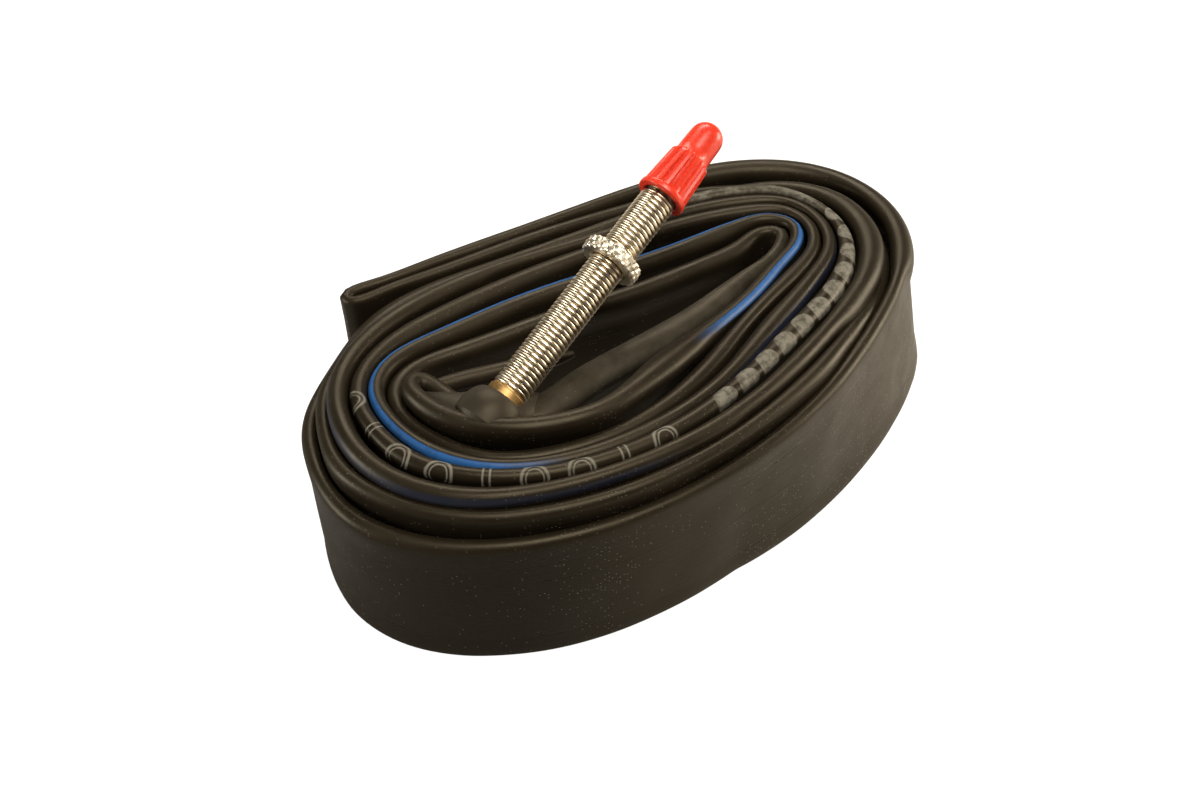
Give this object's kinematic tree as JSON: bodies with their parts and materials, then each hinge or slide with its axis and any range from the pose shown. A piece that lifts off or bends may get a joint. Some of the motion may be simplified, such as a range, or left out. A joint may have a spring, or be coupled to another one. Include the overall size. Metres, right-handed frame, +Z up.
{
  "type": "bicycle inner tube",
  "caption": "Rolled-up road bicycle inner tube: flat doubled rubber strip on edge, threaded Presta valve leaning over it with knurled rim nut and ribbed dust cap.",
  "frame": {"origin": "middle of the roll's bounding box at its underside, where the strip's lower fold stands on the table", "axes": "+Z up; +X along the roll's long axis, the way the valve leans; +Y towards the side where the outer end loop lies"},
  "size_m": [0.1126, 0.067, 0.0528],
  "materials": {
    "tube_rubber": "satin brownish-black butyl, faint talc",
    "patch_rubber": "matt grey-black moulded rubber",
    "plated_brass": "warm nickel plating over brass, bare brass at the foot",
    "nickel": "bright nickel plating, knurled edge",
    "core_brass": "turned brass",
    "seal_rubber": "matt black",
    "red_plastic": "semi-gloss moulded red"
  },
  "bodies": {
    "tube": {"inner_tube": "tube_rubber", "valve_patch": "patch_rubber", "valve_stem": "plated_brass", "core_body": "core_brass", "core_gasket": "seal_rubber"},
    "nut": {"rim_nut": "nickel"},
    "pin": {"core_pin": "core_brass", "pin_seal": "seal_rubber", "seal_washer": "core_brass"},
    "lock": {"tip_nut": "core_brass"},
    "cap": {"dust_cap": "red_plastic"}
  },
  "joints": [
    {"name": "cap_pull", "type": "slide", "parent": "tube", "child": "cap", "axis": [0.8713, 0.3171, 0.3746], "range_m": [0, 0.028]},
    {"name": "rim_nut_travel", "type": "slide", "parent": "tube", "child": "nut", "axis": [0.8713, 0.3171, 0.3746], "range_m": [-0.015, 0.011]},
    {"name": "pin_press", "type": "slide", "parent": "tube", "child": "pin", "axis": [0.8713, 0.3171, 0.3746], "range_m": [-0.001, 0]},
    {"name": "tip_nut_lift", "type": "slide", "parent": "pin", "child": "lock", "axis": [0.8713, 0.3171, 0.3746], "range_m": [0, 0.002]}
  ],
  "couplings": [
    {"joint": "pin_press", "follows": "tip_nut_lift", "ratio": -0.5}
  ]
}
